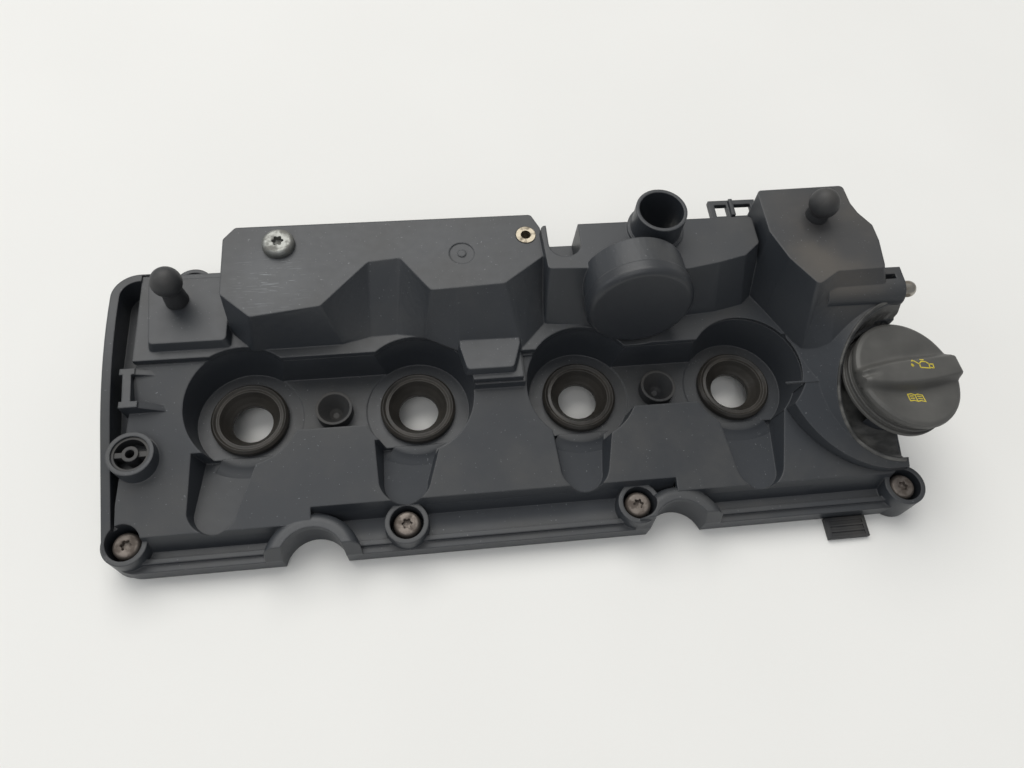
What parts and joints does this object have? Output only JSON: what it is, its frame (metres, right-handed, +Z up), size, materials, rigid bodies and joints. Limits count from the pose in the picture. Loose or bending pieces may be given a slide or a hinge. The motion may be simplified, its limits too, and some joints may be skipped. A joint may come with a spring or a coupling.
{
  "type": "engine valve cover",
  "caption": "Moulded cylinder-head cover with a welded oil separator, injector well seals, vent tube, pressure valve, screw-on oil filler cap and captive bolts.",
  "frame": {"origin": "head joint plane, midway along the row of injector wells, on the injector axes", "axes": "+X along the engine towards the oil filler, +Y towards the oil separator, +Z up off the head"},
  "size_m": [0.4419, 0.186, 0.1058],
  "materials": {
    "moulded_shell": "charcoal glass-filled polyamide, dusty",
    "gasket_rubber": "black rubber",
    "seal_rubber": "brown-black rubber",
    "stud_rubber": "black rubber",
    "bush_rubber": "brown-black rubber",
    "diaphragm_rubber": "thin black rubber",
    "cap_plastic": "black polyamide with a soft shine",
    "valve_cap_plastic": "black polyamide with a soft shine",
    "valve_plate_plastic": "natural acetal",
    "bolt_steel": "zinc-plated steel, dulled",
    "sleeve_steel": "plain steel",
    "screw_steel": "dark zinc-nickel steel",
    "spring_steel": "spring wire",
    "pin_steel": "steel pin",
    "insert_brass": "brass, tarnished"
  },
  "bodies": {
    "cover": {"cover_body": "moulded_shell", "separator_cover": "moulded_shell", "head_gasket": "gasket_rubber", "bolt_sleeves": "sleeve_steel", "separator_screw": "screw_steel", "threaded_insert": "insert_brass", "valve_cap": "valve_cap_plastic", "valve_diaphragm": "diaphragm_rubber", "valve_plate": "valve_plate_plastic", "valve_spring": "spring_steel", "trim_stud_left": "stud_rubber", "trim_stud_right": "stud_rubber", "belt_guard_bush": "bush_rubber", "loom_bracket": "moulded_shell", "hose_clip_pin": "pin_steel", "injector_seal_1": "seal_rubber", "injector_seal_2": "seal_rubber", "injector_seal_3": "seal_rubber", "injector_seal_4": "seal_rubber", "clamp_plug_1": "seal_rubber", "clamp_plug_2": "seal_rubber"},
    "filler_cap_lift": {"cap_seal": "gasket_rubber"},
    "filler_cap": {"oil_cap": "cap_plastic"},
    "bolt_1": {"cover_bolt_1": "bolt_steel"},
    "bolt_2": {"cover_bolt_2": "bolt_steel"},
    "bolt_3": {"cover_bolt_3": "bolt_steel"},
    "bolt_4": {"cover_bolt_4": "bolt_steel"},
    "bolt_5": {"cover_bolt_5": "bolt_steel"},
    "bolt_6": {"cover_bolt_6": "bolt_steel"},
    "bolt_7": {"cover_bolt_7": "bolt_steel"},
    "bolt_8": {"cover_bolt_8": "bolt_steel"}
  },
  "joints": [
    {"name": "filler_cap_lift_off", "type": "slide", "parent": "cover", "child": "filler_cap_lift", "axis": [0.1478, 0, 0.989], "range_m": [0, 0.06]},
    {"name": "filler_cap_turn", "type": "hinge", "parent": "filler_cap_lift", "child": "filler_cap", "pos_m": [0.2096, -0.0178, 0.063], "axis": [0.1478, 0, 0.989], "range_deg": [0, 90]},
    {"name": "bolt_1_slide", "type": "slide", "parent": "cover", "child": "bolt_1", "axis": [0, 0, -1], "range_m": [0, 0.0084]},
    {"name": "bolt_2_slide", "type": "slide", "parent": "cover", "child": "bolt_2", "axis": [0, 0, -1], "range_m": [0, 0.0084]},
    {"name": "bolt_3_slide", "type": "slide", "parent": "cover", "child": "bolt_3", "axis": [0, 0, -1], "range_m": [0, 0.0084]},
    {"name": "bolt_4_slide", "type": "slide", "parent": "cover", "child": "bolt_4", "axis": [0, 0, -1], "range_m": [0, 0.0084]},
    {"name": "bolt_5_slide", "type": "slide", "parent": "cover", "child": "bolt_5", "axis": [0, 0, -1], "range_m": [0, 0.0084]},
    {"name": "bolt_6_slide", "type": "slide", "parent": "cover", "child": "bolt_6", "axis": [0, 0, -1], "range_m": [0, 0.0084]},
    {"name": "bolt_7_slide", "type": "slide", "parent": "cover", "child": "bolt_7", "axis": [0, 0, -1], "range_m": [0, 0.0084]},
    {"name": "bolt_8_slide", "type": "slide", "parent": "cover", "child": "bolt_8", "axis": [0, 0, -1], "range_m": [0, 0.0084]}
  ]
}
